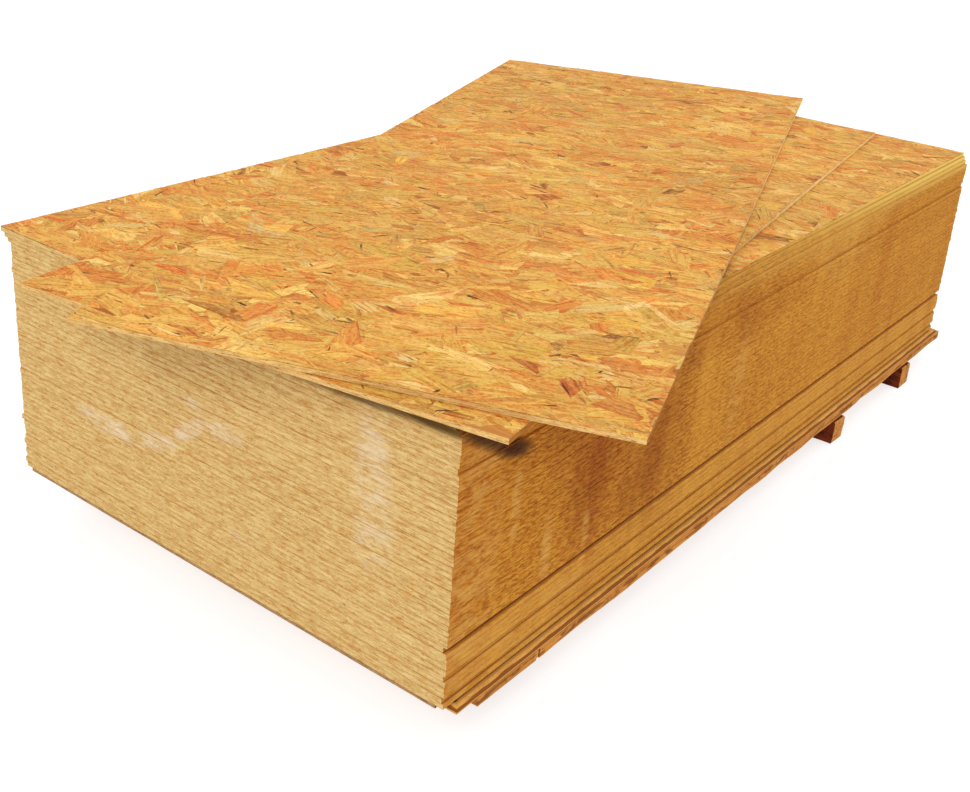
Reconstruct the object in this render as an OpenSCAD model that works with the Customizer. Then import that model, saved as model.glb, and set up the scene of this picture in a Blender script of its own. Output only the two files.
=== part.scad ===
// Squared stack of oriented strand boards on a base of boards and bearers, with
// two loose boards of a narrower format turned across its top.
//
// +X runs along the panels from the near short end, +Y runs across them and +Z
// is up. The origin is on the floor, under the middle of the squared stack and
// on the underside of the middle bearer.

/* [Panels] */
// Length of one panel
panel_l = 2500; // [2000:10:3000]
// Width of one panel
panel_w = 1250; // [900:10:1500]
// Thickness of one panel
panel_t = 12; // [9:0.1:25]
// Panels in the squared stack
panel_n = 48; // [18:1:48]

/* [Squareness of the stack] */
// Most that a panel strays from square, along and across
edge_stray = 0.8; // [0:0.1:4]
// How far a panel above a parting line sits back from the right-hand side
parting_back = 4; // [0:0.5:10]
// How far the panel above the main parting line sits back
main_parting_back = 9; // [0:0.5:15]
// Panels below the first small parting line
lot_1_n = 4; // [1:1:5]
// Panels below the main parting line
lot_2_n = 9; // [6:1:9]
// Panels above the last small parting line
lot_top_n = 8; // [4:1:8]
// Uppermost panels that are stepped towards the left and the near end
stepped_n = 3; // [0:1:3]
// How far each of them is stepped past the one below
step = 4.5; // [0:0.5:12]

/* [Loose panels] */
// Width of both of them; the lower one is as long as the stacked panels
loose_w = 1050; // [900:10:1300]
// Length of the upper one
upper_l = 2700; // [2000:10:3000]

/* [Lower loose panel] */
// Turn, seen from above
lower_turn = 9; // [0:0.5:15]
// Its middle, along the stack
lower_x = -120; // [-150:1:150]
// Its middle, across the stack
lower_y = -18; // [-100:1:100]

/* [Upper loose panel] */
// Turn, seen from above
upper_turn = 19.5; // [0:0.5:22]
// Its middle, along the stack
upper_x = -40; // [-100:1:100]
// Its middle, across the stack
upper_y = 47; // [-100:1:100]

/* [Base boards] */
// Thickness of the cover sheet under the panels
cover_t = 12; // [6:0.5:25]
// Thickness of the thin sheet that shows as a groove
groove_t = 7; // [4:0.5:15]
// How far the thin sheet sits back from either long side
groove_back = 18; // [5:1:40]
// Thickness of the base board
base_t = 22; // [12:1:40]
// How far the base board is set towards the far end
base_x = 30; // [0:1:60]
// How far the base board is set towards the right
base_out = 10; // [0:1:30]

/* [Deck planks] */
// Thickness of a plank
plank_t = 28; // [18:0.1:45]
// Width of a plank
plank_w = 120; // [80:5:200]
// How much shorter a plank row is than a panel
plank_short = 20; // [0:5:200]
// How far the planks are set towards the far end
plank_x = 90; // [0:5:120]
// How far the right-hand planks stand out from the panels
plank_out = 7; // [0:1:20]
// Length of the short plank at the near end of the right-hand row
short_plank_l = 195; // [180:5:400]
// Gap between the two planks of the right-hand row
plank_gap = 4; // [1:0.5:10]

/* [Bearers] */
// Height of a bearer
bearer_h = 70; // [40:1:120]
// Width of a bearer
bearer_w = 70; // [40:1:120]
// How much shorter a bearer is than a panel is wide
bearer_short = 60; // [0:5:150]
// Distance from the panels' ends to the middle of the end bearers
bearer_end = 220; // [170:5:400]
// How far the two far bearers stand out on the right-hand side
bearer_out = 15; // [0:1:40]
// How far the other bearers sit back on the right-hand side
bearer_in = 62; // [0:1:80]

/* [Hidden] */
bearer_n = 5;
far_bearer_n = 2;
bearer_l = panel_w - bearer_short;
bearer_pitch = (panel_l - 2 * bearer_end) / (bearer_n - 1);
plank_l = panel_l - plank_short;

plank_z = bearer_h;
base_z = plank_z + plank_t;
groove_z = base_z + base_t;
cover_z = groove_z + groove_t;
stack_z = cover_z + cover_t;
loose_z = stack_z + panel_n * panel_t;

right_y = -panel_w / 2;
far_bearer_y = right_y - bearer_out;
near_bearer_y = right_y + bearer_in;

// Seeds that fix how the panels stray
SEED_ALONG = 11;
SEED_ACROSS = 23;
stray_along = rands(-edge_stray, edge_stray, panel_n, SEED_ALONG);
stray_across = rands(-edge_stray, edge_stray, panel_n, SEED_ACROSS);

function panel_name(i) = str("panel_", i < 10 ? "0" : "", i);
function bearer_name(i) = str("bearer_", i);

// Panels are counted from 1 at the bottom
function set_back(i) =
    i == lot_2_n + 1 ? main_parting_back
    : i == 1 || i == lot_1_n + 1 || i == panel_n - lot_top_n ? parting_back
    : 0;
function steps(i) = max(0, i - (panel_n - stepped_n));
function panel_x(i) = stray_along[i - 1] - step * steps(i);
function panel_y(i) = stray_across[i - 1] + set_back(i) + step * steps(i);
function panel_z(i) = stack_z + (i - 1) * panel_t;

// Bearers are counted from 1 at the near end
function bearer_x(i) = (i - (bearer_n + 1) / 2) * bearer_pitch;
function bearer_y(i) = i > bearer_n - far_bearer_n ? far_bearer_y : near_bearer_y;

// A board of size [length, width, thickness], with its middle at x, y and its underside at z
module board(size, x, y, z, turn = 0) {
    translate([x, y, z]) rotate([0, 0, turn])
        translate([-size[0] / 2, -size[1] / 2, 0]) cube(size);
}

module panel(i) {
    color("peru") board([panel_l, panel_w, panel_t], panel_x(i), panel_y(i), panel_z(i));
}

module loose_panel_lower() {
    color("sandybrown")
        board([panel_l, loose_w, panel_t], lower_x, lower_y, loose_z, lower_turn);
}

module loose_panel_upper() {
    color("burlywood")
        board([upper_l, loose_w, panel_t], upper_x, upper_y, loose_z + panel_t, upper_turn);
}

module cover_sheet() {
    color("goldenrod") board([panel_l, panel_w, cover_t], 0, 0, cover_z);
}

module groove_sheet() {
    color("maroon") board([panel_l, panel_w - 2 * groove_back, groove_t], 0, 0, groove_z);
}

module base_board() {
    color("chocolate") board([panel_l, panel_w, base_t], base_x, -base_out, base_z);
}

// A plank that starts at x along a row and whose right-hand edge is at y
module plank(x, y, l) {
    color("saddlebrown") translate([plank_x - plank_l / 2 + x, y, plank_z]) cube([l, plank_w, plank_t]);
}

module deck_plank_right() {
    long_plank_x = short_plank_l + plank_gap;
    plank(0, right_y - plank_out, short_plank_l);
    plank(long_plank_x, right_y - plank_out, plank_l - long_plank_x);
}

// The middle plank, and the left-hand one flush with the far bearers' ends
module deck_planks_inner() {
    plank(0, -plank_w / 2, plank_l);
    plank(0, far_bearer_y + bearer_l - plank_w, plank_l);
}

module bearer(i) {
    color("sienna") translate([bearer_x(i) - bearer_w / 2, bearer_y(i), 0])
        cube([bearer_w, bearer_l, bearer_h]);
}

for (i = [1:bearer_n])
    bearer(i);
deck_plank_right();
deck_planks_inner();
base_board();
groove_sheet();
cover_sheet();
for (i = [1:panel_n])
    panel(i);
loose_panel_lower();
loose_panel_upper();
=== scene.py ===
"""Looks of a squared stack of oriented strand boards on a base of boards, planks and bearers.

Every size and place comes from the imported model. Each board is rebuilt with sawn edges, and the
boards whose faces show get their pressed wood strands as shapes of their own.
"""
import logging
import math
from dataclasses import dataclass, field
from enum import Enum

import bpy
import numpy as np
from mathutils import Matrix, Vector


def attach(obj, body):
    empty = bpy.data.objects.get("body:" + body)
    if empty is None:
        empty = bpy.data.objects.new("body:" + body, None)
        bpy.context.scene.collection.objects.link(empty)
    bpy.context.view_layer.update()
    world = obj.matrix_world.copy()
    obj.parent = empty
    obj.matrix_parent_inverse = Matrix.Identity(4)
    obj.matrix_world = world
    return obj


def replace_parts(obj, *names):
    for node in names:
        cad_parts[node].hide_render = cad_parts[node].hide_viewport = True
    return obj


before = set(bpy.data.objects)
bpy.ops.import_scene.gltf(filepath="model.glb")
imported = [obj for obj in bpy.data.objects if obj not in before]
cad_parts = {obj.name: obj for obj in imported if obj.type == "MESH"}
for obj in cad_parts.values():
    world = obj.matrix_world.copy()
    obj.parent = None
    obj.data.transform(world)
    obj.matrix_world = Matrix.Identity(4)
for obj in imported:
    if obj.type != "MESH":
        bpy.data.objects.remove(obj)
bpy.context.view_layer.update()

BODY = "root"
STACKED = 48
MILLIMETRE = 0.001
LOG = logging.getLogger("board_stack")

Triple = tuple[float, float, float]
Colour = tuple[float, float, float, float]
Profile = tuple[tuple[float, float], ...]


def paint(red: int, green: int, blue: int) -> Colour:
    """Turns a display colour into the linear colour that shaders use.

    Args:
        red: Red from 0 to 255.
        green: Green from 0 to 255.
        blue: Blue from 0 to 255.

    Returns:
        Linear red, green, blue and an alpha of 1.
    """
    def linear(value: float) -> float:
        """Undoes the display curve for one channel."""
        return value / 12.92 if value <= 0.04045 else ((value + 0.055) / 1.055) ** 2.4

    return (linear(red / 255), linear(green / 255), linear(blue / 255), 1.0)


# ---------------------------------------------------------------- shader graph


class Val:
    """A node's output, as a value that takes part in arithmetic."""

    def __init__(self, graph: "Graph", socket: bpy.types.NodeSocket) -> None:
        """Wraps a socket.

        Args:
            graph: The graph that the socket belongs to.
            socket: The output socket.
        """
        self.graph = graph
        self.socket = socket

    def _math(self, operation: str, first: "Val | float", second: "Val | float") -> "Val":
        """Adds one Math node.

        Args:
            operation: The Math node's operation.
            first: Its first value.
            second: Its second value.

        Returns:
            The result.
        """
        return self.graph.make("ShaderNodeMath", {"operation": operation}, {0: first, 1: second})

    def __add__(self, other: "Val | float") -> "Val":
        """This plus other."""
        return self._math("ADD", self, other)

    def __radd__(self, other: float) -> "Val":
        """Other plus this."""
        return self._math("ADD", other, self)

    def __sub__(self, other: "Val | float") -> "Val":
        """This minus other."""
        return self._math("SUBTRACT", self, other)

    def __rsub__(self, other: float) -> "Val":
        """Other minus this."""
        return self._math("SUBTRACT", other, self)

    def __mul__(self, other: "Val | float") -> "Val":
        """This times other."""
        return self._math("MULTIPLY", self, other)

    def __rmul__(self, other: float) -> "Val":
        """Other times this."""
        return self._math("MULTIPLY", other, self)

    def __gt__(self, other: "Val | float") -> "Val":
        """1 where this is above other, and 0 elsewhere."""
        return self._math("GREATER_THAN", self, other)

    def larger(self, other: "Val | float") -> "Val":
        """The larger of this and other."""
        return self._math("MAXIMUM", self, other)

    def size(self) -> "Val":
        """This without its sign."""
        return self._math("ABSOLUTE", self, 0.0)

    def rise(self, low: float, high: float) -> "Val":
        """A smooth step.

        Args:
            low: Where it leaves 0.
            high: Where it reaches 1; below low for a falling step.

        Returns:
            A value from 0 to 1.
        """
        if low < high:
            return self._step(low, high)
        return 1.0 - self._step(high, low)

    def _step(self, low: float, high: float) -> "Val":
        """A smooth step from 0 at low up to 1 at high."""
        inputs = {"Value": self, "From Min": low, "From Max": high}
        return self.graph.make("ShaderNodeMapRange", {"interpolation_type": "SMOOTHSTEP"}, inputs)


class Graph:
    """The node graph of one material."""

    # Socket numbers of the Mix node when it mixes colours.
    MIX_FACTOR, MIX_FIRST, MIX_SECOND, MIX_RESULT = 0, 6, 7, 2

    def __init__(self, name: str) -> None:
        """Makes an empty material.

        Args:
            name: The material's name.
        """
        self.material = bpy.data.materials.new(name)
        self.material.use_nodes = True
        self.tree = self.material.node_tree
        self.tree.nodes.clear()

    def make(self, kind: str, settings: dict, inputs: dict, output: int | str = 0) -> Val:
        """Adds a node.

        Args:
            kind: The node's type.
            settings: Its own settings, with a ramp's stops as (place, colour) pairs under "stops".
            inputs: A value or a link for each socket, by name or number.
            output: The output to hand back.

        Returns:
            That output.
        """
        node = self.tree.nodes.new(kind)
        for name, value in settings.items():
            if name == "stops":
                self._set_stops(node.color_ramp, value)
            else:
                setattr(node, name, value)
        for name, value in inputs.items():
            if isinstance(value, Val):
                self.tree.links.new(value.socket, node.inputs[name])
            else:
                node.inputs[name].default_value = value
        return Val(self, node.outputs[output])

    @staticmethod
    def _set_stops(ramp: bpy.types.ColorRamp, stops: list) -> None:
        """Gives a colour ramp its stops.

        Args:
            ramp: The ramp.
            stops: Pairs of place and colour, in rising order.
        """
        while len(ramp.elements) < len(stops):
            ramp.elements.new(1.0)
        for element, (place, colour) in zip(ramp.elements, stops):
            element.position = place
            element.color = colour

    def attribute(self, name: str, output: str) -> Val:
        """Reads a value stored on the mesh."""
        return self.make("ShaderNodeAttribute", {"attribute_name": name}, {}, output)

    def place(self) -> Val:
        """Reads the place on the object."""
        return self.make("ShaderNodeTexCoord", {}, {}, "Object")

    def parts(self, vector: Val) -> tuple[Val, Val, Val]:
        """Splits a vector into its three numbers."""
        node = self.make("ShaderNodeSeparateXYZ", {}, {0: vector}).socket.node
        return tuple(Val(self, socket) for socket in node.outputs)

    def vector(self, x: Val | float, y: Val | float, z: Val | float) -> Val:
        """Joins three numbers into a vector."""
        return self.make("ShaderNodeCombineXYZ", {}, {0: x, 1: y, 2: z})

    def stretch(self, vector: Val, by: Triple) -> Val:
        """Multiplies a vector by another one."""
        return self.make("ShaderNodeVectorMath", {"operation": "MULTIPLY"}, {0: vector, 1: by})

    def noise(self, vector: Val, detail: float = 2.0, rough: float = 0.5, warp: float = 0.0) -> Val:
        """Soft noise.

        Args:
            vector: Where it is read, already scaled.
            detail: How many finer layers it has.
            rough: How strong the finer layers are.
            warp: How far it bends itself.

        Returns:
            A value around 0.5.
        """
        inputs = {"Vector": vector, "Scale": 1.0, "Detail": detail, "Roughness": rough, "Distortion": warp}
        return self.make("ShaderNodeTexNoise", {}, inputs)

    def cells(self, vector: Val, output: str = "Color") -> Val:
        """Cells with a random colour each, or the distance to their middle."""
        return self.make("ShaderNodeTexVoronoi", {}, {"Vector": vector, "Scale": 1.0}, output)

    def random(self, value: Val) -> Val:
        """A random number for each whole value."""
        return self.make("ShaderNodeTexWhiteNoise", {"noise_dimensions": "1D"}, {"W": value}, "Value")

    def ramp(self, value: Val, stops: list) -> Val:
        """Turns a value into a colour."""
        return self.make("ShaderNodeValToRGB", {"stops": stops}, {0: value})

    def mix(self, factor: Val | float, first: Val | tuple, second: Val | tuple, way: str = "MIX") -> Val:
        """Mixes two colours.

        Args:
            factor: How much of the second is used.
            first: The first colour.
            second: The second colour.
            way: The Mix node's blend type.

        Returns:
            The mixed colour.
        """
        settings = {"data_type": "RGBA", "blend_type": way}
        inputs = {self.MIX_FACTOR: factor, self.MIX_FIRST: first, self.MIX_SECOND: second}
        return self.make("ShaderNodeMix", settings, inputs, self.MIX_RESULT)

    def bump(self, height: Val, distance: float, strength: float = 1.0) -> Val:
        """Turns a height from 0 to 1 into a normal.

        Args:
            height: The height.
            distance: What a height of 1 is, in metres.
            strength: How strong the relief is.

        Returns:
            The normal.
        """
        return self.make("ShaderNodeBump", {}, {"Strength": strength, "Distance": distance, "Height": height})

    def surface(self, **inputs: "Val | float | tuple") -> bpy.types.Material:
        """Ends the graph in a Principled shader.

        Args:
            **inputs: Its sockets, with _ for each space.

        Returns:
            The material.
        """
        named = {name.replace("_", " "): value for name, value in inputs.items()}
        shader = self.make("ShaderNodeBsdfPrincipled", {}, named)
        self.make_end(shader)
        return self.material

    def make_end(self, shader: Val) -> None:
        """Links a shader to the material's output."""
        end = self.tree.nodes.new("ShaderNodeOutputMaterial")
        self.tree.links.new(shader.socket, end.inputs["Surface"])


# ------------------------------------------------------------------- finishes


@dataclass(frozen=True)
class Blotch:
    """A soft oval mark on a flat side, in metres.

    Attributes:
        along: Its middle along the side, in the model's own X or Y.
        height: Its middle above the floor.
        reach: Half of its length.
        rise: Half of its height.
        lean: Its slope.
        strength: How strong it is.
    """

    along: float
    height: float
    reach: float
    rise: float
    lean: float = 0.0
    strength: float = 1.0

    def mask(self, along: Val, height: Val) -> Val:
        """Where the mark is.

        Args:
            along: The place along the side.
            height: The height above the floor.

        Returns:
            A value from 0 to its strength.
        """
        across = along - self.along
        above = height - self.height - across * self.lean
        a = across * (1.0 / self.reach)
        b = above * (1.0 / self.rise)
        return (a * a + b * b).rise(1.0, 0.0) * self.strength


def blotches(marks: tuple[Blotch, ...], along: Val, height: Val) -> Val:
    """Joins several marks into one mask.

    Args:
        marks: The marks.
        along: The place along the side.
        height: The height above the floor.

    Returns:
        A value from 0 to 1.
    """
    total = marks[0].mask(along, height)
    for mark in marks[1:]:
        total = total.larger(mark.mask(along, height))
    return total


@dataclass(frozen=True)
class StrandFinish:
    """Finish of the wood strands in a board's face.

    Attributes:
        name: The material's name.
        tone: A colour that everything is multiplied by.
        roughness: How matte the strands are.
    """

    name: str = "pressed_strands"
    tone: Colour = paint(240, 230, 186)
    roughness: float = 0.62

    def material(self) -> bpy.types.Material:
        """Builds the material, which reads each strand's own tint and grain."""
        g = Graph(self.name)
        tint = g.attribute("strand_tint", "Color")
        grain = g.attribute("strand_grain", "Vector")
        end, side, _ = g.parts(g.attribute("strand_span", "Vector"))
        fibre = g.noise(g.stretch(grain, (11.0, 150.0, 1.0)), 4.0, 0.68, 0.35)
        flame = g.noise(g.stretch(grain, (14.0, 60.0, 1.7)), 3.0, 0.55, 1.2)
        crack = g.noise(g.stretch(grain, (13.0, 190.0, 2.3)), 2.0, 0.5, 0.6)
        place = g.place()
        cloud = g.noise(g.stretch(place, (13.0, 7.0, 1.0)), 4.0, 0.6, 0.8)
        mottle = g.noise(g.stretch(place, (210.0, 120.0, 1.0)), 3.0, 0.7, 0.5)
        tint = g.mix(cloud.rise(0.52, 0.66) * 0.6, tint, paint(236, 156, 82))
        tint = g.mix(cloud.rise(0.48, 0.32) * 0.45, tint, paint(236, 196, 116))
        tint = g.mix(flame.rise(0.48, 0.66) * 0.6, tint, paint(240, 168, 96), "MULTIPLY")
        tint = g.mix(flame.rise(0.46, 0.3) * 0.5, tint, paint(240, 202, 124))
        tint = g.mix(mottle.rise(0.5, 0.34) * 0.6, tint, paint(200, 144, 84), "MULTIPLY")
        tint = g.mix(mottle.rise(0.54, 0.7) * 0.35, tint, paint(250, 220, 150))
        dusky = g.mix(fibre.rise(0.5, 0.3) * 0.75, tint, paint(198, 138, 74), "MULTIPLY")
        pale = g.mix(fibre.rise(0.54, 0.72) * 0.45, dusky, paint(252, 222, 164))
        split = g.mix(crack.rise(0.655, 0.7) * 0.6, pale, paint(136, 80, 32))
        split = g.mix(crack.rise(0.72, 0.75) * 0.8, split, paint(56, 32, 12))
        # A darker rim near each strand's border: wear, and painted shade along its edge.
        reach = side.size().larger(end.size() + (flame - 0.5) * 0.25)
        rim_wear_and_shade = reach + (fibre - 0.5) * 0.5
        edged = g.mix(rim_wear_and_shade.rise(0.84, 1.12) * 0.42, split, paint(160, 100, 46))
        toned = g.mix(1.0, edged, self.tone, "MULTIPLY")
        height = fibre * 0.7 + flame * 0.3 - crack.rise(0.65, 0.7) * 0.6
        rough = self.roughness + 0.2 * fibre
        normal = g.bump(height, 0.0009, 0.6)
        return g.surface(Base_Color=toned, Roughness=rough, Normal=normal, Specular_IOR_Level=0.18)


@dataclass(frozen=True)
class PressedFaceFinish:
    """Finish of a board's face where the strands lie flat or are mostly hidden.

    Attributes:
        name: The material's name.
        shade: A colour that the face is multiplied by.
        half: Half of the board's length and width, to give it a rim of dust and painted shade; 0 for no rim.
        rim: How wide that rim is.
        side_dust_and_shade: The rim's colour along the long sides, for dust and painted shade on the ledges.
        end_dust_and_shade: The rim's colour along the short ends, for dust and painted shade on the ledges.
        recess: How far the board above lies back from the long side; 0 when it does not.
        gap: The colour of the shadow in that recess.
    """

    name: str
    shade: Colour = paint(255, 255, 255)
    half: tuple[float, float] = (0.0, 0.0)
    rim: float = 0.014
    side_dust_and_shade: Colour = paint(190, 128, 54)
    end_dust_and_shade: Colour = paint(204, 160, 96)
    recess: float = 0.0
    gap: Colour = paint(84, 36, 8)

    def _layer(self, g: Graph, lay: Val, turn: float, seed: float) -> tuple[Val, Val]:
        """One layer of flat strands.

        Args:
            g: The graph.
            lay: The place on the board.
            turn: The strands' turn, in radians.
            seed: Moves the pattern.

        Returns:
            The layer's colour and its random pick.
        """
        x, y, z = g.parts(lay)
        along = x * math.sin(turn) + y * math.cos(turn)
        across = x * math.cos(turn) - y * math.sin(turn)
        warp = g.noise(g.vector(along * 9.0, across * 9.0, z + seed), 2.0)
        place = g.vector(along * 9.5 + warp * 0.7, across * 34.0 + warp * 1.1, z * 3.7 + seed)
        pick, _, other = g.parts(g.cells(place))
        stops = [
            (0.0, paint(150, 92, 42)), (0.08, paint(208, 138, 66)), (0.35, paint(226, 164, 84)),
            (0.7, paint(238, 190, 112)), (0.92, paint(243, 205, 134)), (1.0, paint(206, 120, 54)),
        ]
        fibre = g.noise(g.vector(along * 12.0, across * 420.0, pick * 9.0), 3.0, 0.6, 0.3)
        colour = g.mix(fibre.rise(0.35, 0.7) * 0.4, g.ramp(pick, stops), paint(178, 122, 66), "MULTIPLY")
        return colour, other

    def material(self) -> bpy.types.Material:
        """Builds the material."""
        g = Graph(self.name)
        lay = g.attribute("board_lay", "Vector")
        first, pick = self._layer(g, lay, 0.12, 0.0)
        second, _ = self._layer(g, lay, -0.35, 5.0)
        third, _ = self._layer(g, lay, 0.75, 9.0)
        face = g.mix(pick > 0.62, first, second)
        face = g.mix(pick > 0.86, face, third)
        rough = g.noise(g.stretch(lay, (60.0, 60.0, 1.0)), 3.0)
        shaded = g.mix(1.0, face, self.shade, "MULTIPLY")
        if self.half[0]:
            u, v, _ = g.parts(lay)
            near_end = u.size().rise(self.half[0] - self.rim, self.half[0] - self.rim / 2)
            near_side = v.size().rise(self.half[1] - self.rim, self.half[1] - self.rim / 2)
            # A rim of dust and painted shade over the ledges that show near the edges.
            shaded = g.mix(near_end * 0.9, shaded, self.end_dust_and_shade)
            shaded = g.mix(near_side * 0.9, shaded, self.side_dust_and_shade)
            # Painted shadow on the part of the face in the recess under the board above, fading towards the
            # far end.
            if self.recess:
                inner = self.half[1] - self.recess
                sheltered = v.size().rise(inner + self.recess * 0.5, inner + self.recess * 0.2)
                fade = u.rise(1.0, -0.6) * 0.75 + 0.25
                shaded = g.mix(near_side * sheltered * fade, shaded, self.gap)
        normal = g.bump(pick + rough, 0.0005, 0.5)
        return g.surface(
            Base_Color=shaded, Roughness=0.6 + 0.25 * rough, Normal=normal, Specular_IOR_Level=0.18)


class Axis(Enum):
    """Which of the model's axes a side of the stack runs along."""

    X = 0
    Y = 1


@dataclass(frozen=True)
class EdgePoint:
    """Where a point on the sawn edge of a board lies.

    Attributes:
        run: Its way round the board's outline.
        height: Its height above the board's underside.
        board: The board's number.
        place: Its place in the model.
        along: Its place along the side.
        z: Its height above the floor.
        near: 1 on the side with the lower coordinate, and 0 on the other one.
    """

    run: Val
    height: Val
    board: Val
    place: Val
    along: Val
    z: Val
    near: Val

    @classmethod
    def on(cls, g: Graph, axis: Axis) -> "EdgePoint":
        """Reads the point's values.

        Args:
            g: The graph.
            axis: The axis that the side runs along.

        Returns:
            The point.
        """
        run, height, board = g.parts(g.attribute("edge_run", "Vector"))
        place = g.place()
        x, y, z = g.parts(place)
        along, across = (x, y) if axis is Axis.X else (y, x)
        return cls(run, height, board, place, along, z, (across * -1.0) > 0.0)


@dataclass(frozen=True)
class Parting:
    """A board that lies a little back, so that the joint under it shows as a line; its edge gets a painted
    shadow under the board above.

    Attributes:
        board: The board's number.
        strength: How strong the shadow on its edge is.
        set_back: How far it lies back.
    """

    board: int
    strength: float
    set_back: float


@dataclass(frozen=True)
class SawnEdgeFinish:
    """Finish of the sawn edges of strand boards, where the strands show in section.

    Attributes:
        name: The material's name.
        axis: The axis that the side runs along.
        thick: The thickness of one board.
        dark: Colour of the gaps and knots.
        body: Colour of most strands.
        light: Colour of the palest strands.
        contrast: How strongly the strands differ, from 0 to 1.
        board_tone: How much one board differs from the next.
        hatch: How strongly slanting saw marks show.
        calm: A height below which the saw marks are faint and the boards paler.
        band: How strongly upright bands show.
        chalk: Pale smudges, on the near side only, which has the lower coordinate.
        stain: Dark stains.
        fresh: Pale areas, such as newly cut edges.
        flecks: How strong the dark flecks are.
        seams: How dark the joints between boards are.
        corner: A place along the side where the joints are darker.
        corner_seams: How much darker they are there.
        crown: How much paler the middle of each board's edge is.
        mottle: How strong the fine warm and pale mottling and the dark specks are.
        mark: The colour that saw marks multiply by.
        gap: The colour of painted shadow in an open joint and under an overhang.
        powder: The colour of the pale smudges.
        cut: The colour of newly cut edges.
        parted: The boards that lie a little back, whose edges get a painted shadow.
        shade: Painted shadow on the near side, close under an overhang.
        tone: A colour that everything is multiplied by.
        near_end_shade: A colour that the end with the lower coordinate is multiplied by, as painted shade.
    """

    name: str
    axis: Axis
    thick: float
    dark: Colour
    body: Colour
    light: Colour
    contrast: float = 0.6
    board_tone: float = 0.25
    hatch: float = 0.0
    calm: float = 0.0
    band: float = 0.0
    chalk: tuple[Blotch, ...] = ()
    stain: tuple[Blotch, ...] = ()
    fresh: tuple[Blotch, ...] = ()
    flecks: float = 0.8
    seams: float = 0.7
    corner: float = 0.0
    corner_seams: float = 0.0
    crown: float = 0.0
    mottle: float = 0.0
    mark: Colour = paint(214, 160, 96)
    gap: Colour = paint(84, 40, 10)
    powder: Colour = paint(240, 220, 200)
    cut: Colour = paint(240, 200, 116)
    parted: tuple[Parting, ...] = ()
    shade: tuple[Blotch, ...] = ()
    tone: Colour = paint(255, 255, 255)
    near_end_shade: Colour = paint(255, 255, 255)

    # Heights on a board's edge, in metres.
    SEAM = 0.0014
    CROWN_START = 0.0015
    # The shadow on a board that lies back starts lower, the further it lies back.
    SHADOW_START = 0.0085
    SHADOW_DROP = 1.3
    SHADOW_BLUR = 0.0015
    # Where the darker joints at a corner fade out, and where they are full.
    CORNER_REACH = (0.16, 0.01)
    CALM_BLUR = 0.004

    def _wood(self, g: Graph, at: EdgePoint, strand: Val, fine: Val, pit: Val) -> Val:
        """Colours the strands in section.

        Args:
            g: The graph.
            at: The point.
            strand: The strands' own pattern.
            fine: A finer pattern within them.
            pit: Where there are small dark openings.

        Returns:
            The colour.
        """
        tone = g.random(at.board * 1.7 + 3.0)
        value = strand * 0.55 + fine * 0.45
        value = (value - 0.5) * (1.0 + self.contrast) + 0.5 + (tone - 0.5) * self.board_tone
        colour = g.ramp(value, [(0.2, self.dark), (0.48, self.body), (0.76, self.light)])
        colour = g.mix(pit * self.flecks, colour, self.dark)
        warm = g.noise(g.vector(at.run * 34.0, at.height * 220.0, at.board * 2.3 + 31.0), 2.0, 0.5)
        colour = g.mix(warm.rise(0.54, 0.68) * 0.35, colour, paint(236, 172, 104), "MULTIPLY")
        centre = self.thick / 2
        middle = at.height.rise(self.CROWN_START, centre)
        middle = middle * at.height.rise(self.thick - self.CROWN_START, centre)
        return g.mix(middle * strand.rise(0.36, 0.6) * self.crown, colour, self.light)

    def _joints(self, g: Graph, at: EdgePoint, colour: Val) -> Val:
        """Darkens the joints between boards, and paints the shadow on the edge of each board that lies back,
        under the board above.

        Args:
            g: The graph.
            at: The point.
            colour: The colour so far.

        Returns:
            The new colour.
        """
        seam = at.height.rise(self.SEAM, 0.0)
        seam = seam.larger(at.height.rise(self.thick - self.SEAM, self.thick))
        broken = g.noise(g.vector(at.run * 30.0, at.board * 9.1, 0.0), 3.0, 0.7).rise(0.34, 0.62)
        close = at.along.rise(*(self.corner + reach for reach in self.CORNER_REACH))
        colour = g.mix(seam * broken * (close * self.corner_seams + self.seams), colour, self.dark)
        # Painted shadow on the upper part of the edge of each board that lies back, fading towards the far
        # end.
        for parting in self.parted:
            fade = at.along.rise(1.0, -0.6) * 0.7 + 0.3
            here = (at.board - parting.board).size().rise(0.6, 0.4) * fade
            start = self.SHADOW_START - self.SHADOW_DROP * parting.set_back
            shadow = here * at.height.rise(start, start + self.SHADOW_BLUR)
            colour = g.mix(shadow * parting.strength, colour, self.gap)
        return colour

    def _saw_marks(self, g: Graph, at: EdgePoint, colour: Val) -> Val:
        """Adds slanting saw marks.

        Args:
            g: The graph.
            at: The point.
            colour: The colour so far.

        Returns:
            The new colour.
        """
        slant = g.vector(at.along * 52.0, (at.z + at.along * 0.1) * 190.0, 4.0)
        above = at.z.rise(self.calm - self.CALM_BLUR, self.calm + self.CALM_BLUR)
        colour = g.mix((1.0 - above) * 0.16, colour, self.powder)
        marks = g.noise(slant, 2.0, 0.5, 0.3).rise(0.44, 0.62) * (above * 0.65 + 0.35)
        marks = marks * (at.along.rise(0.8, -0.9) * 0.5 + 0.5)
        return g.mix(marks * self.hatch, colour, self.mark, "MULTIPLY")

    def _bands(self, g: Graph, at: EdgePoint, colour: Val) -> Val:
        """Adds broad upright bands.

        Args:
            g: The graph.
            at: The point.
            colour: The colour so far.

        Returns:
            The new colour.
        """
        upright = g.noise(g.vector(at.along * 7.0, at.z * 0.6, 2.0), 3.0, 0.6)
        colour = g.mix(upright.rise(0.5, 0.72) * self.band, colour, paint(222, 168, 100), "MULTIPLY")
        return g.mix(upright.rise(0.47, 0.3) * self.band, colour, self.light)

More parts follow.
